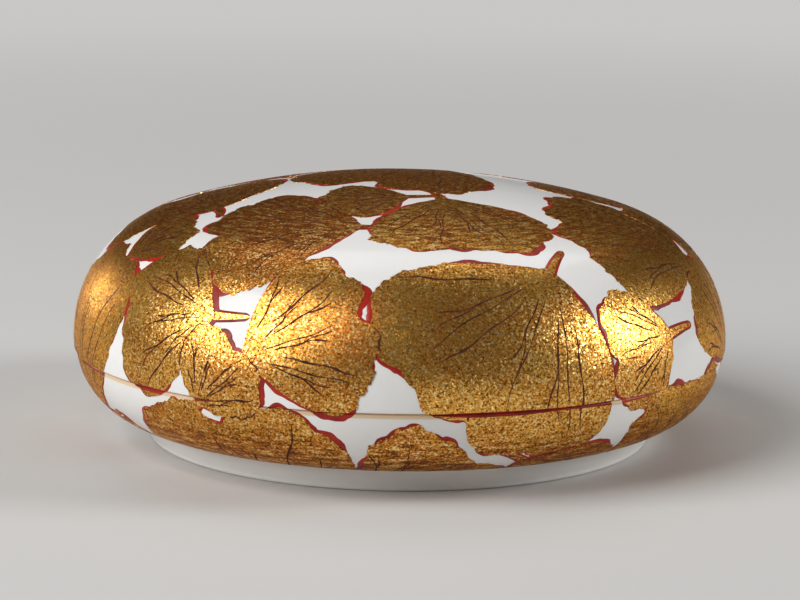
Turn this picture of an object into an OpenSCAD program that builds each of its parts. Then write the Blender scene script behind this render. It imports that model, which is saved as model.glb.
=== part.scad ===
// Round porcelain incense box: a domed lid that lifts off a shallow footed bowl.
// Lengths are in millimetres. The axis of the box is Z and it stands on the plane z = 0.

/* [Outer form] */
// Widest diameter of the closed box, on the lid
box_d = 78; // [70:0.5:90]
// Height of the widest line above the table
girth_z = 12.2; // [11:0.1:15]
// Section radius of the lid's shoulder
shoulder_r = 15.3; // [13:0.1:18]
// Rise of the crown above the top of the shoulder's circle
crown_rise = 3.5; // [2:0.1:6]
// How far the bowl's side swells out of the straight line from rim to foot
bowl_bulge = 2; // [1:0.1:3]

/* [Seat of the lid] */
// Distance of the parting line below the widest line
seam_drop = 1.4; // [0.8:0.1:2]
// How far the lid's edge stands out past the bowl's rim
lid_overhang = 0.25; // [0:0.05:0.6]
// Height of the bowl's inner lip above the parting line
lip_h = 3; // [2:0.1:4]
// Thickness of the bowl's inner lip
lip_wall = 1.7; // [1.2:0.1:2.4]
// Gap all round between the lip and the lid's seat
lid_clearance = 0.4; // [0.2:0.05:0.8]
// Rounding of the two edges that meet at the parting line
seam_round = 0.25; // [0.2:0.05:0.7]

/* [Walls] */
// Thickness of the lid
lid_wall = 2.8; // [2:0.1:3.6]
// How far the lid's straight seat stands in from its curved inside
seat_inset = 0.15; // [0.1:0.05:0.4]
// Thickness of the bowl's floor
floor_wall = 2.9; // [2.2:0.1:4]
// Section radius where the floor of the well turns up into its wall
well_r = 6; // [3:0.1:7]

/* [Foot ring] */
// Diameter of the foot ring at the table
foot_d = 60; // [52:0.2:64]
// Height of the foot ring, up to where it meets the bowl
foot_h = 2.6; // [1.8:0.1:3.6]
// How far the foot's side leans out on its way up
foot_flare = 1; // [0:0.1:1.6]
// Width of the foot ring at the table
foot_w = 2.6; // [1.8:0.1:4]
// Rounding of the foot's two lower edges
foot_round = 0.5; // [0.2:0.05:0.8]
// Depth of the hollow under the bowl, inside the foot
foot_hollow = 2.3; // [1.2:0.1:3]

/* [Hidden] */
$fn = 180;

// Colours of the bare pieces
glaze_white = [0.93, 0.94, 0.93];

// Segments in a round stretch of a section
long_arc = 32;
short_arc = 6;

// Lid: the shoulder's circle is tangent to the widest diameter and, from inside, to the crown's circle.
box_r = box_d / 2;
shoulder_x = box_r - shoulder_r;
crown_k = shoulder_r + crown_rise;
crown_r = (pow(shoulder_x, 2) + pow(crown_k, 2) - pow(shoulder_r, 2)) / (2 * crown_rise);
crown_z = girth_z + crown_k - crown_r;
crown_end = atan2(girth_z - crown_z, shoulder_x);
seam_z = girth_z - seam_drop;

// Seat: the lid's straight inner wall drops over the bowl's lip.
seat_r = shoulder_x + shoulder_r - lid_wall - seat_inset;
seat_top_z = girth_z + sqrt(pow(shoulder_r - lid_wall, 2) - pow(seat_r - shoulder_x, 2));
lip_r = seat_r - lid_clearance;
lip_top_z = seam_z + lip_h;
lip_round = lip_wall / 2;

// Bowl: its side is one arc from the rim down to the foot.
rim_r = shoulder_x + sqrt(pow(shoulder_r, 2) - pow(seam_drop, 2)) - lid_overhang;
foot_r = foot_d / 2;
foot_top_r = foot_r + foot_flare;
side_dx = rim_r - foot_top_r;
side_dz = seam_z - foot_h;
side_chord = norm([side_dx, side_dz]);
bowl_side_r = (pow(side_chord / 2, 2) + pow(bowl_bulge, 2)) / (2 * bowl_bulge);
side_back = bowl_side_r - bowl_bulge;
bowl_side_x = (rim_r + foot_top_r) / 2 - side_back * side_dz / side_chord;
bowl_side_z = (seam_z + foot_h) / 2 + side_back * side_dx / side_chord;
well_wall_r = lip_r - lip_wall;
floor_z = foot_hollow + floor_wall;

// Points of an arc about c, from angle a0 to angle a1
function arc(c, r, a0, a1, n) =
    [for (i = [0:n]) let (a = a0 + (a1 - a0) * i / n) c + r * [cos(a), sin(a)]];

// Centre of a rounding of radius f that touches the level line z from above or below (up is 1 or -1)
// and the inside of the circle of radius r about c.
function edge_centre(c, r, z, f, up) =
    [c[0] + sqrt(pow(r - f, 2) - pow(z + up * f - c[1], 2)), z + up * f];

// Direction from point a to point b
function bearing(a, b) = atan2(b[1] - a[1], b[0] - a[0]);

// Lid in section: crown, shoulder, rounded edge, flat seat, straight inner wall and hollow
module lid() {
    shoulder_c = [shoulder_x, girth_z];
    crown_c = [0, crown_z];
    edge_c = edge_centre(shoulder_c, shoulder_r, seam_z, seam_round, 1);
    edge_a = bearing(shoulder_c, edge_c);
    hollow_r = shoulder_r - lid_wall;
    hollow_a = bearing(shoulder_c, [seat_r, seat_top_z]);
    color(glaze_white)
    rotate_extrude()
    polygon(concat(
        arc(crown_c, crown_r, 90, crown_end, long_arc),
        arc(shoulder_c, shoulder_r, crown_end, edge_a, long_arc),
        arc(edge_c, seam_round, edge_a, -90, short_arc),
        [[seat_r, seam_z]],
        arc(shoulder_c, hollow_r, hollow_a, crown_end, long_arc),
        arc(crown_c, crown_r - lid_wall, crown_end, 90, long_arc)
    ));
}

// Bowl in section: hollow foot, foot ring, side, rounded rim, flat ledge, inner lip and well
module bowl() {
    side_c = [bowl_side_x, bowl_side_z];
    rim_c = edge_centre(side_c, bowl_side_r, seam_z, seam_round, -1);
    foot_a = bearing(side_c, [foot_top_r, foot_h]);
    lip_c = [lip_r - lip_round, lip_top_z - lip_round];
    well_c = [well_wall_r - well_r, floor_z + well_r];
    foot_out_c = [foot_r - foot_round, foot_round];
    foot_in_c = [foot_r - foot_w + foot_round, foot_round];
    color(glaze_white)
    rotate_extrude()
    polygon(concat(
        [[0, foot_hollow], [foot_r - foot_w, foot_hollow]],
        arc(foot_in_c, foot_round, 180, 270, short_arc),
        arc(foot_out_c, foot_round, -90, 0, short_arc),
        arc(side_c, bowl_side_r, foot_a, bearing(side_c, rim_c), long_arc),
        arc(rim_c, seam_round, bearing(side_c, rim_c), 90, short_arc),
        [[lip_r, seam_z]],
        arc(lip_c, lip_round, 0, 180, 2 * short_arc),
        arc(well_c, well_r, 0, -90, long_arc),
        [[0, floor_z]]
    ));
}

bowl();
lid();
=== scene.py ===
"""Round porcelain incense box: a lift-off lid on a footed bowl, with gold ginkgo leaves over red enamel."""
import math
from dataclasses import dataclass

import bpy
import numpy as np
from mathutils import Matrix, Vector


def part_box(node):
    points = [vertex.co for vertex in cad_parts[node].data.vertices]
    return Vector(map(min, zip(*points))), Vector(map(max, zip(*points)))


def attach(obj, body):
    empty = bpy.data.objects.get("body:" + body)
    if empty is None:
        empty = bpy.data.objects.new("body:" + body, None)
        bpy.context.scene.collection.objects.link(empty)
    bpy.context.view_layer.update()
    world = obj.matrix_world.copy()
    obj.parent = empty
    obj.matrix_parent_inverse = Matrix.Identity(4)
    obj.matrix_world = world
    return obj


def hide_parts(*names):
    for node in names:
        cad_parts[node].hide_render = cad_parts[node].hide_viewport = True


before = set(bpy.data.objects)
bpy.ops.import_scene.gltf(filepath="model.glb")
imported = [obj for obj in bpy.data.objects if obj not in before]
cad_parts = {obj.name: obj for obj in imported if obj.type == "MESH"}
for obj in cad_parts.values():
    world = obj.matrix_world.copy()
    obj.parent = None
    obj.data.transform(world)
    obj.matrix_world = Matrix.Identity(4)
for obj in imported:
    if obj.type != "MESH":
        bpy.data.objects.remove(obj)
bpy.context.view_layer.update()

# Sizes of the box in millimetres: the outer corners come from the frame, the rest repeats the CAD section.
MM = 0.001
LID_LOW, LID_HIGH = [np.array(corner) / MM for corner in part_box("lid")]
BOWL_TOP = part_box("bowl")[1].z / MM
GIRTH_Z = 12.2
SHOULDER_R = 15.3
BOWL_BULGE = 2.0
LID_OVERHANG = 0.25
LIP_WALL = 1.7
LID_CLEARANCE = 0.4
SEAM_ROUND = 0.25
LID_WALL = 2.8
SEAT_INSET = 0.15
FLOOR_WALL = 2.9
WELL_R = 6.0
FOOT_R = 30.0
FOOT_H = 2.6
FOOT_FLARE = 1.0
FOOT_W = 2.6
FOOT_ROUND = 0.5
FOOT_HOLLOW = 2.3

# The glaze lies this far inside the CAD surface, so that the decoration on it stays within the CAD box.
SKIN = 0.15

# Section of the box, worked out as in the CAD model
BOX_R = LID_HIGH[0]
SEAM_Z = LID_LOW[2]
SHOULDER = np.array([BOX_R - SHOULDER_R, GIRTH_Z])
CROWN_RISE = LID_HIGH[2] - GIRTH_Z - SHOULDER_R
CROWN_R = (SHOULDER[0] ** 2 + (SHOULDER_R + CROWN_RISE) ** 2 - SHOULDER_R ** 2) / (2 * CROWN_RISE)
CROWN = np.array([0.0, LID_HIGH[2] - CROWN_R])
CROWN_ANGLE = math.atan2(GIRTH_Z - CROWN[1], SHOULDER[0])
SEAT_R = BOX_R - LID_WALL - SEAT_INSET
LIP_R = SEAT_R - LID_CLEARANCE
RIM_R = SHOULDER[0] + math.sqrt(SHOULDER_R ** 2 - (GIRTH_Z - SEAM_Z) ** 2) - LID_OVERHANG
SIDE_TOP = np.array([RIM_R, SEAM_Z])
SIDE_FOOT = np.array([FOOT_R + FOOT_FLARE, FOOT_H])
SIDE_CHORD = np.linalg.norm(SIDE_TOP - SIDE_FOOT)
SIDE_R = ((SIDE_CHORD / 2) ** 2 + BOWL_BULGE ** 2) / (2 * BOWL_BULGE)
SIDE_IN = np.array([SIDE_FOOT[1] - SIDE_TOP[1], SIDE_TOP[0] - SIDE_FOOT[0]]) / SIDE_CHORD
SIDE = (SIDE_TOP + SIDE_FOOT) / 2 + (SIDE_R - BOWL_BULGE) * SIDE_IN
FLOOR_Z = FOOT_HOLLOW + FLOOR_WALL
UP = math.pi / 2


def arc(centre, radius, start, stop, count):
    """Points of an arc in the section: the centre plus radius times (cos, sin) of evenly stepped angles."""
    angle = np.linspace(start, stop, count)
    return centre + radius * np.stack([np.cos(angle), np.sin(angle)], axis=1)


def line(start, stop, count):
    """Points of a straight stretch, evenly stepped, without its first point."""
    share = np.linspace(0, 1, count + 1)[1:, None]
    return (1 - share) * np.array(start) + share * np.array(stop)


def bearing_of(start, stop):
    """Angle in the section of the line from start to stop."""
    return math.atan2(stop[1] - start[1], stop[0] - start[0])


def edge_round(centre, radius, up):
    """Centre of an edge's rounding: it touches the parting plane and the inside of the face's circle."""
    z = SEAM_Z + up * SEAM_ROUND
    return np.array([centre[0] + math.sqrt((radius - SEAM_ROUND) ** 2 - (z - centre[1]) ** 2), z])


LID_EDGE = edge_round(SHOULDER, SHOULDER_R - SKIN, 1)
LID_EDGE_ANGLE = bearing_of(SHOULDER, LID_EDGE)
RIM_EDGE = edge_round(SIDE, SIDE_R - SKIN, -1)
RIM_EDGE_ANGLE = bearing_of(SIDE, RIM_EDGE)
FOOT_ANGLE = bearing_of(SIDE, SIDE_FOOT)

# Angles to which the decoration goes round the two edges at the parting line, and its step between them
LID_EDGE_STOP = math.radians(-58)
RIM_EDGE_STOP = math.radians(64)
SEAM_STEP = 0.05


class Face:
    """Decorated outside of one piece: arcs of the section from the top down, each with its centre, radius and
    first and last angle. A place on it is a distance in millimetres from the top of the lid."""

    def __init__(self, start, arcs):
        self.centre, self.radius, self.first, last = [np.array(values) for values in zip(*arcs)]
        lengths = self.radius * (self.first - last)
        self.begins = start + np.cumsum([0, *lengths[:-1]])
        self.start = start
        self.stop = start + sum(lengths)

    def section(self, place):
        """Radius, height and angle of the outward normal at a place: along an arc the angle falls by the
        distance gone over the arc's radius."""
        index = np.clip(np.searchsorted(self.begins, place, side="right") - 1, 0, len(self.begins) - 1)
        radius = self.radius[index]
        angle = self.first[index] - (place - self.begins[index]) / radius
        out = self.centre[index, 0] + radius * np.cos(angle)
        return out, self.centre[index, 1] + radius * np.sin(angle), angle

    def points(self, place, bearing, height):
        """Points at a height above the face: out along the section's normal, then turned by the bearing."""
        out, z, angle = self.section(place)
        out = out + height * np.cos(angle)
        return np.stack([out * np.cos(bearing), out * np.sin(bearing), z + height * np.sin(angle)], axis=-1)


LID_FACE = Face(0.0, (
    (CROWN, CROWN_R - SKIN, UP, CROWN_ANGLE),
    (SHOULDER, SHOULDER_R - SKIN, CROWN_ANGLE, LID_EDGE_ANGLE),
    (LID_EDGE, SEAM_ROUND, LID_EDGE_ANGLE, LID_EDGE_STOP),
))
BOWL_FACE = Face(LID_FACE.stop + SEAM_STEP, (
    (RIM_EDGE, SEAM_ROUND, RIM_EDGE_STOP, RIM_EDGE_ANGLE),
    (SIDE, SIDE_R - SKIN, RIM_EDGE_ANGLE, FOOT_ANGLE),
))
CROWN_END = LID_FACE.begins[1]

# Irrational steps of a count and of a salt, and the salts, which keep one leaf's scattered values apart
COUNT_STEP = 0.6180340
SALT_STEP = 0.7548777
CHIP_SALT = 0
NOTCH_SALT = 1
TURN_SALT = 2
HALF_SALT = 4
TONE_SALT = 9
STALK_SALT = 11
BEND_SALT = 12
RED_SALT = 20
CHIPPED_SALT = 50
EDGE_SALT = 70


def chance(number, salt):
    """Evenly scattered share from 0 to 1 for a count: the fraction of its product with an irrational step."""
    return np.modf(number * COUNT_STEP + salt * SALT_STEP)[0]


def pick(stretch, share):
    """The least value of a stretch, and a share of the most that may be added to it."""
    least, more = stretch
    return least + more * share


# Meshes

SMOOTH_ANGLE = math.radians(40)


def add_object(name, data):
    """Put a new object into the scene."""
    made = bpy.data.objects.new(name, data)
    bpy.context.scene.collection.objects.link(made)
    return made


def add_piece(name, points, faces, values, around=None):
    """Make one mesh object from arrays of points in millimetres and face corners, without unused points."""
    used, corners = np.unique(np.concatenate([part.ravel() for part in faces]), return_inverse=True)
    sizes = np.concatenate([np.full(len(part), part.shape[1]) for part in faces])
    mesh = bpy.data.meshes.new(name)
    mesh.vertices.add(len(used))
    mesh.vertices.foreach_set("co", (points[used] * MM).astype(np.float32).ravel())
    mesh.loops.add(len(corners))
    mesh.loops.foreach_set("vertex_index", corners.astype(np.int32).ravel())
    mesh.polygons.add(len(sizes))
    mesh.polygons.foreach_set("loop_start", (np.cumsum(sizes) - sizes).astype(np.int32))
    mesh.polygons.foreach_set("use_smooth", np.ones(len(sizes), bool))
    mesh.update(calc_edges=True)
    mesh.set_sharp_from_angle(angle=SMOOTH_ANGLE)
    for label, value in values.items():
        attribute = mesh.attributes.new(label, "FLOAT", "POINT")
        attribute.data.foreach_set("value", value[used].astype(np.float32))
    if around is not None:
        layer = mesh.uv_layers.new(name="around")
        layer.data.foreach_set("uv", (around[used][corners.ravel()] * MM).astype(np.float32).ravel())
    return add_object(name, mesh)


def join(parts):
    """Put meshes end to end: points and values are stacked, and corners move up by the points before them."""
    start = np.cumsum([0] + [len(part["points"]) for part in parts])
    faces = [corners + start[i] for i, part in enumerate(parts) for corners in part["faces"]]
    stacked = {key: np.concatenate([part[key] for part in parts]) for key in parts[0] if key != "faces"}
    return stacked, faces


def grid_faces(rows, columns, closed):
    """Corners of the quads of a grid of rows by columns, whose columns may close into a ring."""
    row = np.arange(rows - 1)[:, None] * columns
    column = np.arange(columns if closed else columns - 1)[None, :]
    after = (column + 1) % columns
    quads = np.stack([row + column, row + columns + column, row + columns + after, row + after], axis=-1)
    return quads.reshape(-1, 4)


def fan_faces(tip, start, columns):
    """Corners of the triangles between one point and a ring of points that begins at start."""
    column = np.arange(columns)
    return np.stack([np.full(columns, tip), start + column, start + (column + 1) % columns], axis=1)


# Porcelain

# Points round the box, and along the arcs and straight stretches of its section
TURNS = 288
LONG_ARC = 64
SIDE_ARC = 56
HOLLOW_ARC = 40
WELL_ARC = 24
LIP_ARC = 16
EDGE_ARC = 13
FLOOR_LINE = 30
BASE_LINE = 24
FOOT_LINE = 8
SEAT_LINE = 6
LIP_LINE = 5
SHORT_LINE = 4

# States of the clay after firing: under glaze, bare, and bare with a tan stain
GLAZED = 0.0
BISCUIT = 0.5
STAINED = 1.0

# Points at which the state changes on the lid's edge, the bowl's side and the foot, and the hollow's first
LID_EDGE_GLAZED = 5
RIM_BARE = 2
FOOT_BARE = 3
HOLLOW_START = 2

# How far lid and bowl each stay back from the parting plane
SEAT_GAP = 0.04


def revolve(section):
    """Carry a section from axis to axis once round Z: radius r, height z and angle a give the point
    (r cos a, r sin a, z), and a fan of triangles closes each pole."""
    angle = np.arange(TURNS) * math.tau / TURNS
    radius, z = section[1:-1].T
    rings = np.stack([np.outer(radius, np.cos(angle)), np.outer(radius, np.sin(angle)),
                      np.repeat(z[:, None], TURNS, axis=1)], axis=2)
    poles = np.array([[0, 0, section[0, 1]], [0, 0, section[-1, 1]]])
    points = np.concatenate([rings.reshape(-1, 3), poles])
    count = len(radius)
    first_fan = fan_faces(count * TURNS, 0, TURNS)
    last_fan = fan_faces(count * TURNS + 1, (count - 1) * TURNS, TURNS)[:, [1, 0, 2]]
    return points, [grid_faces(count, TURNS, True), first_fan, last_fan]


def porcelain(name, stretches):
    """Turn one piece from stretches of section, each with the state that the firing left its clay in."""
    section = np.concatenate([points for points, state in stretches])
    state = np.concatenate([np.full(len(points), state) for points, state in stretches])
    points, faces = revolve(section)
    ring_state = np.repeat(state[1:-1], TURNS)
    return add_piece(name, points, faces, {"firing": np.concatenate([ring_state, state[[0, -1]]])})


def lid_section():
    """Lid from the top of the crown over the shoulder, round the edge, along the seat and up the hollow."""
    hollow_r = SHOULDER_R - LID_WALL
    seat_top = np.array([SEAT_R, GIRTH_Z + math.sqrt(hollow_r ** 2 - (SEAT_R - SHOULDER[0]) ** 2)])
    seat = np.array([SEAT_R, SEAM_Z + SEAT_GAP])
    edge = arc(LID_EDGE, SEAM_ROUND, LID_EDGE_ANGLE, -UP, EDGE_ARC)
    edge[:, 1] = np.maximum(edge[:, 1], seat[1])
    hollow = arc(SHOULDER, hollow_r, bearing_of(SHOULDER, seat_top), CROWN_ANGLE, HOLLOW_ARC)
    return [
        (arc(CROWN, CROWN_R - SKIN, UP, CROWN_ANGLE, LONG_ARC), GLAZED),
        (arc(SHOULDER, SHOULDER_R - SKIN, CROWN_ANGLE, LID_EDGE_ANGLE, LONG_ARC)[1:], GLAZED),
        (edge[1:LID_EDGE_GLAZED], GLAZED),
        (edge[LID_EDGE_GLAZED:], STAINED),
        (line(edge[-1], seat, SHORT_LINE), BISCUIT),
        (line(seat, seat_top, SEAT_LINE), BISCUIT),
        (hollow[HOLLOW_START:], GLAZED),
        (arc(CROWN, CROWN_R - LID_WALL, CROWN_ANGLE, UP, HOLLOW_ARC)[1:], GLAZED),
    ]


def bowl_section():
    """Bowl from the middle of the well over lip and ledge, down the side, round the foot and to the base."""
    lip_round = LIP_WALL / 2
    lip = np.array([LIP_R - lip_round, BOWL_TOP - lip_round])
    well = np.array([LIP_R - LIP_WALL - WELL_R, FLOOR_Z + WELL_R])
    ledge = np.array([LIP_R, SEAM_Z - SEAT_GAP])
    rim = arc(RIM_EDGE, SEAM_ROUND, UP, RIM_EDGE_ANGLE, EDGE_ARC)
    rim[:, 1] = np.minimum(rim[:, 1], ledge[1])
    side = arc(SIDE, SIDE_R - SKIN, RIM_EDGE_ANGLE, FOOT_ANGLE, SIDE_ARC)
    foot_out = arc([FOOT_R - FOOT_ROUND, FOOT_ROUND], FOOT_ROUND, 0, -UP, EDGE_ARC)
    foot_in = arc([FOOT_R - FOOT_W + FOOT_ROUND, FOOT_ROUND], FOOT_ROUND, -UP, -2 * UP, EDGE_ARC)
    base_edge = [FOOT_R - FOOT_W, FOOT_HOLLOW]
    return [
        (np.array([[0.0, FLOOR_Z]]), GLAZED),
        (line([0, FLOOR_Z], well + [0, -WELL_R], FLOOR_LINE), GLAZED),
        (arc(well, WELL_R, -UP, 0, WELL_ARC)[1:], GLAZED),
        (line(well + [WELL_R, 0], lip - [lip_round, 0], SHORT_LINE), GLAZED),
        (arc(lip, lip_round, 2 * UP, 0, LIP_ARC)[1:], BISCUIT),
        (line(lip + [lip_round, 0], ledge, LIP_LINE), BISCUIT),
        (line(ledge, rim[0], SHORT_LINE), BISCUIT),
        (rim[1:], STAINED),
        (side[1:RIM_BARE], STAINED),
        (side[RIM_BARE:], GLAZED),
        (line(side[-1], foot_out[0], FOOT_LINE)[:-1], GLAZED),
        (foot_out[:-FOOT_BARE], GLAZED),
        (foot_out[-FOOT_BARE:], BISCUIT),
        (foot_in[:FOOT_BARE], BISCUIT),
        (foot_in[FOOT_BARE:], GLAZED),
        (line(foot_in[-1], base_edge, SHORT_LINE), GLAZED),
        (line(base_edge, [0, FOOT_HOLLOW], BASE_LINE), GLAZED),
    ]


# Ginkgo leaves: their outline, their places on the box and their layout

STEM_SHARE = 0.48
LEAST_CONE = 0.002
LEAF_HEIGHT = 0.055
LEVEL_STEP = 0.02
LEAF_STEP = 0.0004


@dataclass
class Leaf:
    """One leaf: its number, bearing about Z, place down the section, turn from downhill, length, and level
    in a pile of leaves."""
    number: int
    bearing: float
    place: float
    turn: float
    length: float
    level: int = 0

    def __post_init__(self):
        """Half angle, notch, circle of the section, and the cone that touches the box along that circle."""
        self.half = pick(HALF_ANGLE, chance(self.number, HALF_SALT))
        self.notch = pick(NOTCH, chance(self.number, NOTCH_SALT))
        face = LID_FACE if self.place < LID_FACE.stop else BOWL_FACE
        radius, _, angle = face.section(np.array(self.place))
        cone = math.sin(float(angle))
        self.radius = float(radius)
        self.cone = math.copysign(max(abs(cone), LEAST_CONE), cone)

    @property
    def height(self):
        """Height of the gold above the glaze."""
        return LEAF_HEIGHT + LEVEL_STEP * self.level + LEAF_STEP * self.number


HALF_ANGLE = (math.radians(56), math.radians(14))
NOTCH = (0.05, 0.10)
NOTCH_ANGLE = 0.12
RIM_WAVES = ((7.1, 0.030), (17.3, 0.018), (41.9, 0.008))
FAN_FLAT = 5
FAN_ROUND = 0.42


def fan_radius(leaf, angle):
    """Reach of the fan from its stem: flat-topped, with a notch in the middle and waves along the rim."""
    share = np.clip(np.abs(angle) / leaf.half, 0, 1)
    notch = leaf.notch * np.exp(-(angle / NOTCH_ANGLE) ** 2)
    wave = sum(size * np.sin(often * angle + often * leaf.number) for often, size in RIM_WAVES)
    return leaf.length * (1 - share ** FAN_FLAT) ** FAN_ROUND * (1 - notch + wave)


def stem_point(leaf):
    """The fan's stem lies behind the middle of the leaf, on its own axis."""
    return np.array([-STEM_SHARE * leaf.length, 0.0])


def polar(leaf, angle, reach):
    """Flat point at an angle and a reach from the stem."""
    return stem_point(leaf) + np.stack([reach * np.cos(angle), reach * np.sin(angle)], axis=-1)


OUTLINE_SHARE = 3.8
RIM_SPACING = 0.20
BRUSH_SPREAD = 0.22


def rim_count(leaf):
    """Points along a leaf's outline, which is about 3.8 times as long as the leaf."""
    return round(OUTLINE_SHARE * leaf.length / RIM_SPACING)


def left_of(along):
    """Unit vectors to the left of flat vectors."""
    along = along / np.linalg.norm(along, axis=1, keepdims=True)
    return np.stack([-along[:, 1], along[:, 0]], axis=1)


def leaf_outline(leaf):
    """Closed outline of the painted leaf and its outward normals: the fan, stepped closely at the stem, where
    the sides run in, and spread out a little by the brush."""
    count = rim_count(leaf)
    share = (np.arange(count) + 0.5) / count * 2 - 1
    angle = leaf.half * np.sin(UP * share)
    points = polar(leaf, angle, fan_radius(leaf, angle))
    normal = -left_of(np.roll(points, -1, axis=0) - np.roll(points, 1, axis=0))
    return points + BRUSH_SPREAD * normal, normal


def waves(leaf, parts, salt):
    """Uneven values along a leaf's outline: a sum of sines, each of a length in millimetres and a size."""
    count = rim_count(leaf)
    share = np.arange(count) / count
    total = np.zeros(count)
    for spacing, size in parts:
        often = max(1, round(OUTLINE_SHARE * leaf.length / spacing))
        total += size * np.sin(math.tau * (often * share + chance(leaf.number + salt, often)))
    return total


# Chips in the rim of the gold, and how much of them its stretches have, from the least to the most
CHIPS = ((9.0, 0.10), (5.0, 0.10), (2.7, 0.09), (1.6, 0.075), (0.95, 0.05), (0.6, 0.035))
CHIPPED = ((40.0, 0.5), (17.0, 0.4))
CHIPPED_LEVEL = 0.55
CHIPPED_ENDS = (0.1, 1.4)


def gold_rim(leaf):
    """Edge of the gold: the outline, clean in some stretches and chipped in others."""
    outline, normal = leaf_outline(leaf)
    amount = np.clip(CHIPPED_LEVEL + waves(leaf, CHIPPED, CHIPPED_SALT), *CHIPPED_ENDS)
    return outline + normal * (amount * waves(leaf, CHIPS, CHIP_SALT))[:, None]


def lay(leaf, flat):
    """Roll a flat leaf onto the cone that touches the box along the leaf's circle: the distance from the
    cone's tip gives the place down the section, and the angle about the tip gives the bearing."""
    moved = (flat[..., 0] + 1j * flat[..., 1]) * np.exp(1j * leaf.turn)
    tip = leaf.radius / leaf.cone
    side = math.copysign(1, tip)
    from_tip = side * (tip + moved)
    place = leaf.place + side * np.abs(from_tip) - tip
    return place, leaf.bearing + np.angle(from_tip) / leaf.cone


def unlay(leaf, place, bearing):
    """The flat point of a place and bearing: the inverse of lay."""
    tip = leaf.radius / leaf.cone
    side = math.copysign(1, tip)
    swing = (bearing - leaf.bearing + math.pi) % math.tau - math.pi
    from_tip = side * (place - leaf.place + tip) * np.exp(1j * swing * leaf.cone)
    moved = (side * from_tip - tip) * np.exp(-1j * leaf.turn)
    return np.stack([moved.real, moved.imag], axis=-1)


def covers(leaf, place, bearing, inset):
    """Where the leaf's fan, drawn in by an inset, covers places on the box."""
    offset = unlay(leaf, place, bearing) - stem_point(leaf)
    angle = np.arctan2(offset[..., 1], offset[..., 0])
    return np.hypot(offset[..., 0], offset[..., 1]) < fan_radius(leaf, angle) - inset


# Layout: leaves from the longest to the shortest, and what gold under or near a leaf costs when it is turned
LEAF_COUNT = 36
LONGEST = 23.0
SHORTEST = 8.5
LENGTH_CURVE = 0.85
FIRST_SPOT = (12, -35, 18)
CHANNEL = 1.4
NEAR_COST = 0.45
GOLD_COST = 1.3
TURNS_TRIED = 18
LATTICE = 2400
AREA_STEPS = 4000
GOLDEN_ANGLE = math.radians(137.508)


def lattice():
    """Places, bearings and points spread evenly over the outside: each is an equal step of area down the
    section from the one before, and is turned on by the golden angle."""
    fine = np.linspace(0, BOWL_FACE.stop, AREA_STEPS)
    area = np.cumsum(np.where(fine < BOWL_FACE.start, LID_FACE.section(fine)[0], BOWL_FACE.section(fine)[0]))
    index = np.arange(LATTICE) + 0.5
    place = np.interp(index / LATTICE, area / area[-1], fine)
    bearing = index * GOLDEN_ANGLE
    on_lid = (place < BOWL_FACE.start)[:, None]
    points = np.where(on_lid, LID_FACE.points(place, bearing, 0), BOWL_FACE.points(place, bearing, 0))
    return place, bearing, points


def lay_out_leaves():
    """Lay the leaves one after the other, the longest first. Each is centred on the lattice point farthest
    from any gold, turned to cover the most bare ground, and lies on top of the leaves that it overlaps."""
    place, bearing, points = lattice()
    away = -np.linalg.norm(points - np.array(FIRST_SPOT), axis=1)
    gold = np.zeros(LATTICE, bool)
    near = np.zeros(LATTICE, bool)
    leaves = []
    for i in range(LEAF_COUNT):
        number = i + 1
        length = LONGEST + (SHORTEST - LONGEST) * (i / (LEAF_COUNT - 1)) ** LENGTH_CURVE
        spot = np.argmax(away)
        tried = []
        for step in range(TURNS_TRIED):
            turn = math.tau * (step + chance(number, TURN_SALT)) / TURNS_TRIED
            leaf = Leaf(number, bearing[spot], place[spot], turn, length)
            under = covers(leaf, place, bearing, 0)
            cost = NEAR_COST * np.sum(under & near & ~gold) + GOLD_COST * np.sum(under & gold)
            tried.append((np.sum(under & ~near) - cost, step, leaf, under))
        _, _, leaf, under = max(tried, key=lambda trial: trial[:2])
        below = [other.level for other in leaves if np.any(under & covers(other, place, bearing, 0))]
        leaf.level = max(below) + 1 if below else 0
        gold |= under
        near |= covers(leaf, place, bearing, -CHANNEL)
        gap = np.linalg.norm(points[:, None] - points[None, under], axis=2).min(axis=1)
        away = np.minimum(away, gap) if leaves else gap
        leaves.append(leaf)
    return leaves


# Gold, enamel and needle lines on one face of the box

# How far the gold stays back from the parting line: at least, and by waves of a size, count and lead
LID_SHY = 0.06
LID_SHY_WAVE = 0.108
RIM_SHY = 0.12
RIM_SHY_WAVE = 0.36
SHY_LEVEL = 0.4
SHY_WAVES = ((0.6, 5, 1.0), (0.4, 13, 0.0))


def gold_stop(face, bearing):
    """Places between which the gold lies: it stays back from the parting line, most of all on the bowl's
    rim, by a distance that changes slowly with the bearing."""
    wave = sum((size * np.sin(count * bearing + lead) for size, count, lead in SHY_WAVES), SHY_LEVEL)
    wave = np.clip(wave, 0, 1)
    if face is BOWL_FACE:
        return face.start + RIM_SHY + RIM_SHY_WAVE * wave, face.stop
    return face.start, face.stop - LID_SHY - LID_SHY_WAVE * wave


def settle(leaf, flat, height, faces, face, gilt):
    """Lay a flat grid on one face of the box. Points past the face's ends, or past the gold's own ends
    where it is gilt, are drawn back to them, and faces that lie wholly past them are dropped."""
    place, bearing = lay(leaf, flat)
    low, high = gold_stop(face, bearing) if gilt else (face.start, face.stop)
    inside = (place >= low) & (place <= high)
    return {
        "points": face.points(np.clip(place, low, high), bearing, height),
        "faces": [corners[inside[corners].any(axis=1)] for corners in faces],
        "around": np.stack([bearing * BOX_R, place], axis=-1),
    }


def gild(leaf, part, edge):
    """Give a part of the gold the tone of its leaf and the distances from its edge."""
    return {**part, "tone": np.full(len(edge), chance(leaf.number, TONE_SALT)), "edge": edge}


SINK = 0.03
ROW_SPACING = 0.95


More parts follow.
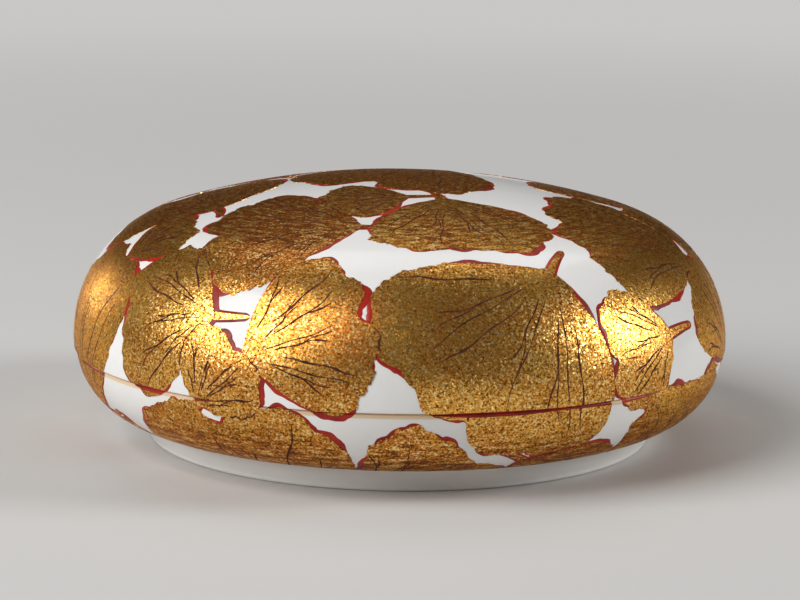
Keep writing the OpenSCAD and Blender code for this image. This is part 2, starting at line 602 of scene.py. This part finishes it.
def gold_fan(leaf, face):
    """Gold of one leaf: rings of points at even shares of the way from its middle to the chipped rim,
    closed in the middle by triangles, and a wall down from its edge."""
    rim = gold_rim(leaf)
    columns = len(rim)
    rows = round(leaf.length / ROW_SPACING)
    share = np.append(np.arange(1, rows + 1) / rows, 1.0)
    flat = np.concatenate([[[0.0, 0.0]], (share[:, None, None] * rim).reshape(-1, 2)])
    height = np.append(np.full(1 + rows * columns, leaf.height), np.full(columns, -SINK))
    faces = [fan_faces(0, 1, columns), 1 + grid_faces(rows + 1, columns, True)]
    part = settle(leaf, flat, height, faces, face, True)
    inset = (1 - share)[:, None] * np.linalg.norm(rim, axis=1)
    return gild(leaf, part, np.append(leaf.length / 2, inset))


# Red borders: their lines under the gold and outwards from it, and the waves that their width goes by
RED_HEIGHT = 0.014
RED_STEP = 0.0005
RED_UNDER = (1.0, 0.75, 0.5)
RED_OUT = (0.6, 0.9, 1.0)
RED_FALL = 0.8
RED_WIDTH = 0.19
RED_LEAST = -0.45
RED_WAVES = ((31.0, 0.30), (17.0, 0.28), (9.0, 0.22), (5.0, 0.12), (2.6, 0.06), (1.3, 0.03))


def red_border(leaf, share):
    """Line in the red border of a leaf: at a share of the way from its last line under the gold to its outer
    edge, whose distance from the outline goes up and down, so that the red shows in strokes with gaps."""
    outline, normal = leaf_outline(leaf)
    width = np.maximum(RED_WIDTH + waves(leaf, RED_WAVES, RED_SALT), RED_LEAST)
    under = RED_UNDER[-1]
    return outline + normal * (share * (width + under) - under)[:, None]


def red_band(leaf, face):
    """Red enamel round one leaf: a band of uneven width from under the gold outwards, rounded down there."""
    outline, normal = leaf_outline(leaf)
    rows = [outline - inset * normal for inset in RED_UNDER]
    rows += [red_border(leaf, share) for share in RED_OUT]
    top = RED_HEIGHT + RED_STEP * leaf.number
    lifts = [top] * (len(RED_UNDER) + 1) + [RED_FALL * top, -SINK]
    faces = [grid_faces(len(lifts), len(outline), True)]
    return settle(leaf, np.concatenate(rows), np.repeat(lifts, len(outline)), faces, face, False)


EDGE_ROWS = 14
EDGE_COLUMNS = 1600
EDGE_DEPTH = 0.9
EDGE_SHARE = 0.95


def within(outline, points):
    """Which flat points lie in a closed outline: a line to the right crosses it an odd number of times."""
    x, y = points[:, None, 0], points[:, None, 1]
    x0, y0 = outline.T
    x1, y1 = np.roll(outline, -1, axis=0).T
    spans = (y0 > y) != (y1 > y)
    crossing = x0 + (y - y0) * (x1 - x0) / np.where(y1 == y0, 1, y1 - y0)
    return np.sum(spans & (x < crossing), axis=1) % 2 == 1


def red_edge(leaves, face):
    """Red enamel along the parting line: a fine grid round the face's edge, kept where red crosses it."""
    stop = face.start + EDGE_DEPTH if face is BOWL_FACE else face.stop
    place = np.linspace(stop - EDGE_DEPTH, stop, EDGE_ROWS)
    bearing = np.arange(EDGE_COLUMNS) * math.tau / EDGE_COLUMNS
    place, bearing = np.meshgrid(place, bearing, indexing="ij")
    shown = np.zeros(place.size, bool)
    for leaf in leaves:
        flat = unlay(leaf, place, bearing).reshape(-1, 2)
        near = np.flatnonzero(np.linalg.norm(flat, axis=1) < leaf.length)
        shown[near] |= within(red_border(leaf, EDGE_SHARE), flat[near])
    quads = grid_faces(EDGE_ROWS, EDGE_COLUMNS, True)
    return {
        "points": face.points(place, bearing, RED_HEIGHT).reshape(-1, 3),
        "faces": [quads[shown[quads].all(axis=1)]],
        "around": np.stack([bearing * BOX_R, place], axis=-1).reshape(-1, 2),
    }


# Stalks: along them a share of 0 is the stem and 1 the end, and across them 1 and -1 are the two edges
STALK_ROWS = 22
STALK_START = -0.16
STALK_LENGTH = (3.2, 2.0)
STALK_BEND = 0.8
STALK_HALF = 0.52
STALK_TAPER = 0.34
STALK_END = 1.02
STALK_ROUND = 0.12
STALK_ACROSS = (1.0, 0.92, 0.0, -0.92, -1.0)
STALK_EDGE = 0.5
STALK_HEIGHT = 0.040
STALK_RED = 0.32
STALK_RED_HEIGHT = 0.010


def stalk(leaf, face, wider, height, gilt):
    """Stalk of one leaf: a strip that bends away behind the stem to a round end, its edges turned down."""
    share = np.linspace(STALK_START, 1, STALK_ROWS)
    long = pick(STALK_LENGTH, chance(leaf.number, STALK_SALT))
    bend = STALK_BEND * long * (chance(leaf.number, BEND_SALT) - 0.5)
    middle = stem_point(leaf) + np.stack([-long * share, bend * share ** 2], axis=1)
    end = np.clip((STALK_END - share) / STALK_ROUND, 0, 1) ** 0.5
    half = (STALK_HALF - STALK_TAPER * share + wider) * end
    across = np.array(STALK_ACROSS)
    lift = np.where(np.abs(across) < 1, height, -SINK)
    aside = left_of(np.gradient(middle, axis=0)) * half[:, None]
    flat = middle[:, None] + across[:, None] * aside[:, None]
    faces = [grid_faces(STALK_ROWS, len(across), False)[:, ::-1]]
    part = settle(leaf, flat.reshape(-1, 2), np.tile(lift, STALK_ROWS), faces, face, gilt)
    edge = np.tile((1 - np.abs(across)) * STALK_EDGE, STALK_ROWS)
    return gild(leaf, part, edge) if gilt else part


# Needle lines: their taper to a thin tip, and the swells in their width, each a count, a size and a salt
LINE_LIFT = 0.004
LINE_STEPS = 30
LINE_TAPER = 7
LINE_TIP = 0.12
LINE_CURVE = 0.6
LINE_SWELLS = ((2.7, 0.28, 3), (7.1, 0.22, 4))


def stroke(leaf, middle, width, face, shown=None):
    """Needle line: a flat ribbon of a given width along a flat curve, kept where shown says so."""
    aside = left_of(np.gradient(middle, axis=0)) * (width / 2)[:, None]
    flat = np.concatenate([middle - aside, middle + aside])
    quads = grid_faces(2, len(middle), False)[:, ::-1]
    if shown is not None:
        quads = quads[shown[:-1] & shown[1:]]
    return settle(leaf, flat, np.full(len(flat), leaf.height + LINE_LIFT), [quads], face, True)


def line_width(number, widest):
    """Width along a line: thin at both ends and uneven between them."""
    share = np.linspace(0, 1, LINE_STEPS)
    taper = np.clip(np.minimum(share, 1 - share) * LINE_TAPER, LINE_TIP, 1) ** LINE_CURVE
    swell = np.ones(LINE_STEPS)
    for count, size, salt in LINE_SWELLS:
        swell += size * np.sin(math.tau * (count * share + chance(number, salt)))
    return widest * taper * swell


# Veins: shares of the fan's half angle and reach, sways of a size, count and lead, and forks
VEINS = 9
VEIN_NUMBERS = 31
VEIN_SPREAD = 0.86
VEIN_SHIFT = 0.7
VEIN_START = (0.14, 0.22)
VEIN_LENGTH = (0.34, 0.36)
VEIN_SWAYS = ((0.03, 3, 6), (0.012, 11, 9))
VEIN_FLARE = (0.88, 0.12)
VEIN_WIDTH = (0.13, 0.11)
FORK_LUCK = 0.55
FORK_REACH = 1.15
FORK_ANGLE = 0.11
FORK_WIDTH = 0.8


def veins(leaf, face):
    """Veins: lines that spread from the stem, each bending a little outwards, and some forking on the way."""
    share = np.linspace(0, 1, LINE_STEPS)
    parts = []
    for i in range(VEINS):
        number = VEIN_NUMBERS * leaf.number + i
        shift, start, length, *lucks, wide = [chance(number, salt) for salt in range(6)]
        aim = leaf.half * VEIN_SPREAD * ((i + 0.5 + VEIN_SHIFT * (shift - 0.5)) / VEINS * 2 - 1)
        top = fan_radius(leaf, np.array(aim))
        reach = top * (pick(VEIN_START, start) + share * pick(VEIN_LENGTH, length))
        angle = aim * pick(VEIN_FLARE, share)
        angle += sum(size * np.sin(count * share + lead * luck)
                     for (size, count, lead), luck in zip(VEIN_SWAYS, lucks))
        width = line_width(number, pick(VEIN_WIDTH, wide))
        parts.append(stroke(leaf, polar(leaf, angle, reach), width, face))
        if lucks[-1] > FORK_LUCK:
            begin = reach[LINE_STEPS // 2]
            reach_on = begin + share * (reach[-1] - begin) * FORK_REACH
            fork = np.interp(reach_on, reach, angle) + math.copysign(FORK_ANGLE, shift - 0.5) * share
            parts.append(stroke(leaf, polar(leaf, fork, reach_on), width * FORK_WIDTH, face))
    return parts


# Lines along the edges of leaves that lie on others
EDGE_INSET = 0.12
EDGE_OVER = 0.08
EDGE_WIDTH = 0.17
EDGE_WAVES = ((9.0, 0.04), (3.7, 0.04))


def overlap_lines(leaf, below, face):
    """Needle line along the leaf's edge, wherever it lies on the gold of a leaf below it."""
    _, normal = leaf_outline(leaf)
    edge = gold_rim(leaf) - EDGE_INSET * normal
    place, bearing = lay(leaf, edge)
    shown = np.zeros(len(edge), bool)
    for other in below:
        shown |= covers(other, place, bearing, EDGE_OVER)
    width = EDGE_WIDTH + waves(leaf, EDGE_WAVES, EDGE_SALT)
    return stroke(leaf, edge, width, face, shown)


def reaches(leaf, face):
    """Whether a leaf's outline comes onto a face."""
    place, _ = lay(leaf, leaf_outline(leaf)[0])
    return place.min() < face.stop and place.max() > face.start


def decoration(name, face, leaves, below):
    """Gold, red enamel and needle lines of some leaves on one face of the box, as three pieces. The leaves
    below are those on whose gold an edge may lie."""
    reached = [leaf for leaf in leaves if reaches(leaf, face)]
    gold = [gold_fan(leaf, face) for leaf in reached]
    gold += [stalk(leaf, face, 0.0, STALK_HEIGHT, True) for leaf in reached]
    red = [red_band(leaf, face) for leaf in reached]
    red += [stalk(leaf, face, STALK_RED, STALK_RED_HEIGHT, False) for leaf in reached]
    red.append(red_edge(reached, face))
    lines = []
    for leaf in reached:
        lower = [other for other in below if other.height < leaf.height]
        lines += [*veins(leaf, face), overlap_lines(leaf, lower, face)]
    pieces = []
    for label, parts in (("gold_leaf", gold), ("red_enamel", red), ("needle_lines", lines)):
        stacked, faces = join(parts)
        values = {key: stacked[key] for key in ("tone", "edge") if key in stacked}
        pieces.append(add_piece(name + "_" + label, stacked["points"], faces, values, stacked["around"]))
    return pieces


# Materials

def fill(tree, node, inputs):
    """Give sockets of a node values or other nodes' outputs."""
    for name, value in inputs.items():
        if isinstance(value, bpy.types.NodeSocket):
            tree.links.new(value, node.inputs[name])
        else:
            node.inputs[name].default_value = value
    return node


def place_node(tree, kind, inputs=None, **settings):
    """Add a node with its properties and inputs."""
    node = tree.nodes.new(kind)
    for name, value in settings.items():
        setattr(node, name, value)
    return fill(tree, node, inputs or {})


def maths(tree, operation, first, second, third=0.0):
    """One step of arithmetic on values or sockets."""
    return place_node(tree, "ShaderNodeMath", {0: first, 1: second, 2: third}, operation=operation).outputs[0]


def scaled(tree, value, factor, more=0.0):
    """A value times a factor, and more."""
    return maths(tree, "MULTIPLY_ADD", value, factor, more)


def vector_maths(tree, operation, first, second=(0, 0, 0)):
    """One step of arithmetic on vectors."""
    return place_node(tree, "ShaderNodeVectorMath", {0: first, 1: second}, operation=operation).outputs


def ramp(tree, value, low, high, start=0.0, stop=1.0):
    """Map a value smoothly from the stretch low to high onto start to stop."""
    inputs = {"Value": value, "From Min": low, "From Max": high, "To Min": start, "To Max": stop}
    return place_node(tree, "ShaderNodeMapRange", inputs, interpolation_type="SMOOTHSTEP").outputs[0]


def mixed(tree, share, first, second):
    """Mix two colours by a share."""
    return place_node(tree, "ShaderNodeMix", {0: share, 6: first, 7: second}, data_type="RGBA").outputs[2]


def noise(tree, vector, scale, detail=2.0, rough=0.5):
    """Noise over a vector, from 0 to 1, at a scale in features per metre."""
    inputs = {"Vector": vector, "Scale": scale, "Detail": detail, "Roughness": rough}
    return place_node(tree, "ShaderNodeTexNoise", inputs).outputs[0]


def new_group(name, inputs, *outputs):
    """Start a shader node group with named sockets and return its tree and its inputs."""
    tree = bpy.data.node_groups.new(name, "ShaderNodeTree")
    tree.interface.new_socket(name="Vector", in_out="INPUT", socket_type="NodeSocketVector")
    for label, value in inputs.items():
        socket = tree.interface.new_socket(name=label, in_out="INPUT", socket_type="NodeSocketFloat")
        socket.default_value = value
    for label in outputs:
        tree.interface.new_socket(name=label, in_out="OUTPUT", socket_type="NodeSocketFloat")
    return tree, place_node(tree, "NodeGroupInput").outputs


GRAIN_FINER = 2.7
GRAIN_COARSE = 0.65
GRAIN_FINE = 0.35


def make_grain_group():
    """Grain: two noises, one 2.7 times as fine as the other, added as one height."""
    tree, entry = new_group("grain", {"Scale": 3000.0}, "Height")
    coarse = noise(tree, entry["Vector"], entry["Scale"])
    fine = noise(tree, entry["Vector"], scaled(tree, entry["Scale"], GRAIN_FINER))
    height = scaled(tree, fine, GRAIN_FINE, scaled(tree, coarse, GRAIN_COARSE))
    place_node(tree, "NodeGroupOutput", {"Height": height})
    return tree


def make_foil_group():
    """Foil: the cells of a Voronoi pattern are flat facets, each with a tone from 0 to 1. Each leans by its
    colour less a half, times that vector's length, so most are nearly flat. The height is in millimetres."""
    tree, entry = new_group("foil", {"Scale": 6000.0, "Slope": 0.3}, "Height", "Tone")
    inputs = {"Vector": entry["Vector"], "Scale": entry["Scale"]}
    cells = place_node(tree, "ShaderNodeTexVoronoi", inputs).outputs
    across = vector_maths(tree, "SUBTRACT", entry["Vector"], cells["Position"])["Vector"]
    lean = vector_maths(tree, "SUBTRACT", cells["Color"], (0.5, 0.5, 0.5))["Vector"]
    slope = scaled(tree, vector_maths(tree, "LENGTH", lean)["Value"], entry["Slope"])
    rise = vector_maths(tree, "DOT_PRODUCT", across, lean)["Value"]
    height = maths(tree, "DIVIDE", scaled(tree, rise, slope), MM)
    tone = place_node(tree, "ShaderNodeSeparateXYZ", {0: cells["Color"]}).outputs["X"]
    place_node(tree, "NodeGroupOutput", {"Height": height, "Tone": tone})
    return tree


# Detail and roughness of the noise in the next two groups, and the stretch of it that counts
MOTTLE_NOISE = (4.0, 0.6)
MOTTLE_STRETCH = (0.3, 0.7)
SPECK_NOISE = (3.0, 0.65)
SPECK_STRETCH = (1.0, 1.04)


def make_mottle_group():
    """Mottle: slow noise with its contrast raised, for uneven colour and gloss."""
    tree, entry = new_group("mottle", {"Scale": 100.0}, "Value")
    slow = noise(tree, entry["Vector"], entry["Scale"], *MOTTLE_NOISE)
    place_node(tree, "NodeGroupOutput", {"Value": ramp(tree, slow, *MOTTLE_STRETCH)})
    return tree


def make_speck_group():
    """Specks: the peaks of a fine noise, as a mask from 0 to 1."""
    tree, entry = new_group("specks", {"Scale": 2500.0, "Cover": 0.28}, "Mask")
    fine = noise(tree, entry["Vector"], entry["Scale"], *SPECK_NOISE)
    mask = ramp(tree, maths(tree, "ADD", fine, entry["Cover"]), *SPECK_STRETCH)
    place_node(tree, "NodeGroupOutput", {"Mask": mask})
    return tree


GRAIN = make_grain_group()
FOIL = make_foil_group()
MOTTLE = make_mottle_group()
SPECKS = make_speck_group()


def use_group(tree, group, vector, **values):
    """Place a node group with its vector and values and return its outputs."""
    return place_node(tree, "ShaderNodeGroup", {"Vector": vector, **values}, node_tree=group).outputs


def new_material(name):
    """Start a material, and return it, its tree, its shader and the object coordinates."""
    material = bpy.data.materials.new(name)
    material.use_nodes = True
    tree = material.node_tree
    where = place_node(tree, "ShaderNodeTexCoord").outputs["Object"]
    return material, tree, tree.nodes["Principled BSDF"], where


def fill_shader(tree, shader, values, height):
    """Give the shader its values, and a height in millimetres as its normal."""
    inputs = {"Height": height, "Strength": 1.0, "Distance": MM}
    normal = place_node(tree, "ShaderNodeBump", inputs).outputs[0]
    fill(tree, shader, {**values, "Normal": normal})


def attribute(tree, name):
    """Value of a mesh attribute."""
    return place_node(tree, "ShaderNodeAttribute", attribute_name=name).outputs["Fac"]


# Colours
GLAZE_WHITE = (0.84, 0.83, 0.81, 1)
GLAZE_SHADE = (0.79, 0.78, 0.76, 1)
BISCUIT_CREAM = (0.78, 0.73, 0.65, 1)
STAIN_TAN = (0.74, 0.55, 0.36, 1)
# Pale cream gold for random facets: painted glints
GOLD_PAINTED_GLINT = (1.0, 0.79, 0.34, 1)
GOLD_PALE = (0.92, 0.47, 0.065, 1)
GOLD_DEEP = (0.59, 0.18, 0.012, 1)
GOLD_HOLLOW = (0.09, 0.017, 0.002, 1)
GOLD_EDGE = (0.95, 0.60, 0.22, 1)
GOLD_WORN = (0.05, 0.017, 0.006, 1)
RED_BRIGHT = (0.44, 0.024, 0.013, 1)
RED_DARK = (0.18, 0.009, 0.007, 1)
LINE_BROWN = (0.040, 0.011, 0.006, 1)
LINE_RUST = (0.13, 0.036, 0.016, 1)

# Roughness from one end of a mottle to the other, and what bare or worn ground adds to it
GLAZE_ROUGH = (0.0, 1.0, 0.14, 0.20)
GOLD_ROUGH = (0.0, 1.0, 0.30, 0.35)
RED_ROUGH = (0.0, 1.0, 0.28, 0.42)
LINE_ROUGH = (0.0, 1.0, 0.45, 0.65)
BARE_ROUGH = 0.5
WORN_ROUGH = 0.2

# Heights of the fine relief in millimetres
GLAZE_RELIEF = 0.0006
BARE_RELIEF = 0.008
DENT_RELIEF = 0.008
GOLD_RELIEF = 0.012
WORN_RELIEF = -0.004
RED_RELIEF = 0.01
LINE_RELIEF = 0.02


def porcelain_material():
    """White porcelain under a clear gloss glaze: matt and cream where bare, and tan at the parting line."""
    material, tree, shader, where = new_material("porcelain_glaze")
    clouds = use_group(tree, MOTTLE, where, Scale=60.0)["Value"]
    grain = use_group(tree, GRAIN, where, Scale=2600.0)["Height"]
    firing = attribute(tree, "firing")
    bare = ramp(tree, firing, GLAZED, BISCUIT)
    stain = ramp(tree, firing, BISCUIT, STAINED)
    clay = mixed(tree, bare, mixed(tree, clouds, GLAZE_WHITE, GLAZE_SHADE), BISCUIT_CREAM)
    colour = mixed(tree, stain, clay, STAIN_TAN)
    rough = scaled(tree, bare, BARE_ROUGH, ramp(tree, clouds, *GLAZE_ROUGH))
    height = scaled(tree, grain, scaled(tree, bare, BARE_RELIEF, GLAZE_RELIEF))
    values = {"Base Color": colour, "Roughness": rough, "Specular IOR Level": 0.3}
    fill_shader(tree, shader, values, height)
    return material


# Gold: how far its patterns are stretched round the box
BRUSHED = (0.06, 1.0, 1.0)
STREAKED = (0.2, 1.0, 1.0)

# Gold: ramps of the height in metres of the crown and the foot, where it is worn where handled and darkened
# as painted shade, and of the millimetres from its edge
CROWN_WORN_AND_SHADED = (0.0225, 0.0285)
FOOT_WORN_AND_SHADED = (0.004, 0.011, 1.0, 0.0)
EDGE_PITTED = (0.0, 1.4, 0.05, 0.0)
EDGE_RED = (0.2, 0.8, 0.8, 0.0)

# Gold: what each cause adds to pits, shade and thin places, with painted shade on the crown and foot, and
# where thin gold is dull or bright with painted glints
PITTED = 0.37
RUBBED = 0.8
CLOUD_SHADE = 0.6
TONE_SHADE = 0.4
HANDLED_PAINTED_SHADE = 0.35
SPECKLE_THIN = 0.5
STREAK_THIN = 0.75
STREAK_LEVEL = -0.29
THIN_DULL = (0.52, 0.86, 0.0, 0.92)
THIN_PAINTED_GLINT = (0.15, 0.42, 1.0, 0.0)
BARE_METAL = -0.5
COAT = 0.3


def gold_material():
    """Rubbed gold leaf: crinkled facets of metal, uneven from leaf to leaf, with flecks where it is thin and
    brown enamel shows through, pale facets that are painted glints, dark pits, fine rubbed lines, and streaks
    of wear where it was handled, with painted shade on the crown and towards the foot."""
    material, tree, shader, where = new_material("rubbed_gold_leaf")
    around = place_node(tree, "ShaderNodeUVMap", uv_map="around").outputs[0]
    brushed, streaked = [
        place_node(tree, "ShaderNodeMapping", {"Vector": around, "Scale": scale}).outputs[0]
        for scale in (BRUSHED, STREAKED)
    ]
    clouds = use_group(tree, MOTTLE, where, Scale=170.0)["Value"]
    flecks = use_group(tree, MOTTLE, where, Scale=3600.0)["Value"]
    streaks = use_group(tree, MOTTLE, streaked, Scale=1700.0)["Value"]
    grain = use_group(tree, GRAIN, where, Scale=5000.0)["Height"]
    dents = use_group(tree, GRAIN, where, Scale=800.0)["Height"]
    facets = use_group(tree, FOIL, where, Scale=6000.0, Slope=0.3)
    level = place_node(tree, "ShaderNodeSeparateXYZ", {0: where}).outputs["Z"]
    # Painted shade: the gold is made darker and browner on the crown and towards the foot, partly as wear
    # where it was handled
    handled_and_shaded = maths(tree, "MAXIMUM", ramp(tree, level, *CROWN_WORN_AND_SHADED), ramp(tree, level, *FOOT_WORN_AND_SHADED))
    edge = attribute(tree, "edge")
    cover = maths(tree, "ADD", ramp(tree, edge, *EDGE_PITTED), PITTED)
    pits = use_group(tree, SPECKS, where, Scale=3300.0, Cover=cover)["Mask"]
    holes = use_group(tree, SPECKS, where, Scale=1500.0, Cover=0.33)["Mask"]
    rubbed = use_group(tree, SPECKS, brushed, Scale=3000.0, Cover=0.375)["Mask"]
    worn = maths(tree, "MAXIMUM", pits, holes)
    worn = maths(tree, "MAXIMUM", worn, scaled(tree, rubbed, RUBBED))
    tone = scaled(tree, attribute(tree, "tone"), TONE_SHADE)
    shade = scaled(tree, clouds, CLOUD_SHADE, tone)
    # Painted shade: the crown and the foot lean towards the deep gold
    shade = scaled(tree, handled_and_shaded, HANDLED_PAINTED_SHADE, shade)
    thin = scaled(tree, maths(tree, "ADD", flecks, facets["Tone"]), SPECKLE_THIN)
    # Streaks of wear on the crown and foot, whose average also darkens them there as painted shade
    streaks_and_shade = scaled(tree, streaks, STREAK_THIN, STREAK_LEVEL)
    thin = scaled(tree, handled_and_shaded, streaks_and_shade, thin)
    dull = ramp(tree, thin, *THIN_DULL)
    gilt = mixed(tree, shade, GOLD_PALE, GOLD_DEEP)
    # Painted glints: pale cream metal on random facets where the gold is not thin
    gilt = mixed(tree, ramp(tree, thin, *THIN_PAINTED_GLINT), gilt, GOLD_PAINTED_GLINT)
    gilt = mixed(tree, dull, gilt, GOLD_HOLLOW)
    under = mixed(tree, ramp(tree, edge, *EDGE_RED), GOLD_WORN, RED_DARK)
    colour = mixed(tree, worn, gilt, under)
    rough = scaled(tree, worn, WORN_ROUGH, ramp(tree, clouds, *GOLD_ROUGH))
    bare = maths(tree, "MAXIMUM", worn, dull)
    metal = scaled(tree, bare, BARE_METAL, 1.0)
    coat = scaled(tree, bare, -COAT, COAT)
    height = scaled(tree, dents, DENT_RELIEF, facets["Height"])
    height = scaled(tree, grain, GOLD_RELIEF, height)
    height = scaled(tree, worn, WORN_RELIEF, height)
    values = {"Base Color": colour, "Roughness": rough, "Metallic": metal, "Coat Weight": coat}
    plain = {"Specular Tint": GOLD_EDGE, "Coat Roughness": 0.35}
    fill_shader(tree, shader, {**values, **plain}, height)
    return material


def red_material():
    """Iron-red enamel: softly glossy, in lighter and darker clouds, with fine dark specks."""
    material, tree, shader, where = new_material("iron_red_enamel")
    clouds = use_group(tree, MOTTLE, where, Scale=260.0)["Value"]
    grain = use_group(tree, GRAIN, where, Scale=1800.0)["Height"]
    specks = use_group(tree, SPECKS, where, Scale=3000.0, Cover=0.28)["Mask"]
    colour = mixed(tree, specks, mixed(tree, clouds, RED_BRIGHT, RED_DARK), LINE_BROWN)
    rough = ramp(tree, clouds, *RED_ROUGH)
    values = {"Base Color": colour, "Roughness": rough, "Specular IOR Level": 0.25}
    fill_shader(tree, shader, values, scaled(tree, grain, RED_RELIEF))
    return material


def line_material():
    """Needle lines: scratched through to dark brown enamel, rusty where the needle went lightly."""
    material, tree, shader, where = new_material("needle_scratch")
    clouds = use_group(tree, MOTTLE, where, Scale=420.0)["Value"]
    grain = use_group(tree, GRAIN, where, Scale=4000.0)["Height"]
    colour = mixed(tree, clouds, LINE_BROWN, LINE_RUST)
    rough = ramp(tree, clouds, *LINE_ROUGH)
    values = {"Base Color": colour, "Roughness": rough, "Specular IOR Level": 0.10}
    fill_shader(tree, shader, values, scaled(tree, grain, LINE_RELIEF))
    return material


# The object

LEAVES = lay_out_leaves()
LOWER_LEAVES = [leaf for leaf in LEAVES if leaf.place >= CROWN_END]
UPPER_LEAVES = [leaf for leaf in LEAVES if leaf.place < CROWN_END]
PORCELAIN = porcelain_material()
DECOR = (("gold_leaf", gold_material()), ("red_enamel", red_material()), ("red_enamel", line_material()))

for body, section in (("lid", lid_section()), ("bowl", bowl_section())):
    turned = porcelain(body + "_porcelain", section)
    turned.data.materials.append(PORCELAIN)
    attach(turned, body)
    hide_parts(body)

for name, body, face, leaves in (
    ("lid_upper", "lid", LID_FACE, UPPER_LEAVES),
    ("lid_lower", "lid", LID_FACE, LOWER_LEAVES),
    ("bowl", "bowl", BOWL_FACE, LEAVES),
):
    for piece, (slot, material) in zip(decoration(name, face, leaves, LEAVES), DECOR):
        piece.data.materials.append(material)
        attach(piece, body)


# Stage, light and camera

FLOOR_COLOUR = (0.62, 0.61, 0.595, 1)
BACKGROUND = (0.58, 0.575, 0.565, 1)
WORLD_GREY = (0.022, 0.022, 0.022, 1)
FLOOR_HALF = 4.0
FLOOR_FADE = (0.12, 0.60)


def floor_material():
    """Pale matt floor, which goes over to an even background far away, for the camera and in gloss."""
    material, tree, shader, where = new_material("pale_floor")
    fill(tree, shader, {"Base Color": FLOOR_COLOUR, "Roughness": 0.8, "Specular IOR Level": 0.05})
    far = vector_maths(tree, "LENGTH", where)["Value"]
    ray = place_node(tree, "ShaderNodeLightPath").outputs
    seen = maths(tree, "MAXIMUM", ray["Is Camera Ray"], ray["Is Glossy Ray"])
    share = scaled(tree, seen, ramp(tree, far, *FLOOR_FADE))
    glow = place_node(tree, "ShaderNodeEmission", {"Color": BACKGROUND})
    blend = place_node(tree, "ShaderNodeMixShader", {0: share, 1: shader.outputs[0], 2: glow.outputs[0]})
    tree.links.new(blend.outputs[0], tree.nodes["Material Output"].inputs["Surface"])
    return material


def add_floor():
    """Plain flat floor."""
    mesh = bpy.data.meshes.new("floor")
    corners = [(FLOOR_HALF * x, FLOOR_HALF * y, 0) for x, y in ((-1, -1), (1, -1), (1, 1), (-1, 1))]
    mesh.from_pydata(corners, [], [(0, 1, 2, 3)])
    mesh.materials.append(floor_material())
    floor = add_object("floor", mesh)


def direction(azimuth, rise):
    """Unit vector at an azimuth from the front, turning right, and a rise above the floor, in degrees."""
    turn = math.radians(azimuth)
    lift = math.radians(rise)
    return Vector((math.sin(turn) * math.cos(lift), -math.cos(turn) * math.cos(lift), math.sin(lift)))


LIGHT_AIM = Vector((0, 0, 0.015))
# Soft boxes a metre away: name, azimuth, rise, width, height and power in watts
LIGHTS = (
    ("left_box", -60, 36, 0.70, 0.82, 11.4),
    ("right_box", 88, 21, 0.30, 0.40, 5.8),
    ("rear_box", -136, 7, 0.26, 0.20, 0.75),
    ("top_box", 178, 60, 0.90, 0.50, 1.7),
)


def add_lights():
    """Soft boxes aimed at the object, under a dim even sky that the camera sees as the background."""
    for name, azimuth, rise, width, height, power in LIGHTS:
        light = bpy.data.lights.new(name, "AREA")
        light.shape = "RECTANGLE"
        light.size = width
        light.size_y = height
        light.energy = power
        lamp = add_object(name, light)
        back = direction(azimuth, rise)
        lamp.location = LIGHT_AIM + back
        lamp.rotation_euler = back.to_track_quat("Z", "Y").to_euler()
    world = bpy.data.worlds.new("studio")
    world.use_nodes = True
    tree = world.node_tree
    seen = place_node(tree, "ShaderNodeLightPath").outputs["Is Camera Ray"]
    sky = mixed(tree, seen, WORLD_GREY, BACKGROUND)
    tree.links.new(sky, tree.nodes["Background"].inputs["Color"])
    bpy.context.scene.world = world


FOCAL_LENGTH = 124.002
CAMERA_DISTANCE = 0.3305
CAMERA_RISE = 10.69
CAMERA_ROLL = math.radians(0.74)
CAMERA_AIM = Vector((0, 0, 0.01593))


def add_camera():
    """Camera in front of the box and a little above it, rolled as the photograph is."""
    data = bpy.data.cameras.new("camera")
    data.lens = FOCAL_LENGTH
    camera = add_object("camera", data)
    back = direction(0, CAMERA_RISE)
    level = back.to_track_quat("Z", "Y").to_matrix().to_4x4()
    turn = level @ Matrix.Rotation(CAMERA_ROLL, 4, "Z")
    camera.matrix_world = Matrix.Translation(CAMERA_AIM + CAMERA_DISTANCE * back) @ turn
    bpy.context.scene.camera = camera


add_floor()
add_lights()
add_camera()
bpy.context.scene.view_settings.view_transform = "Standard"
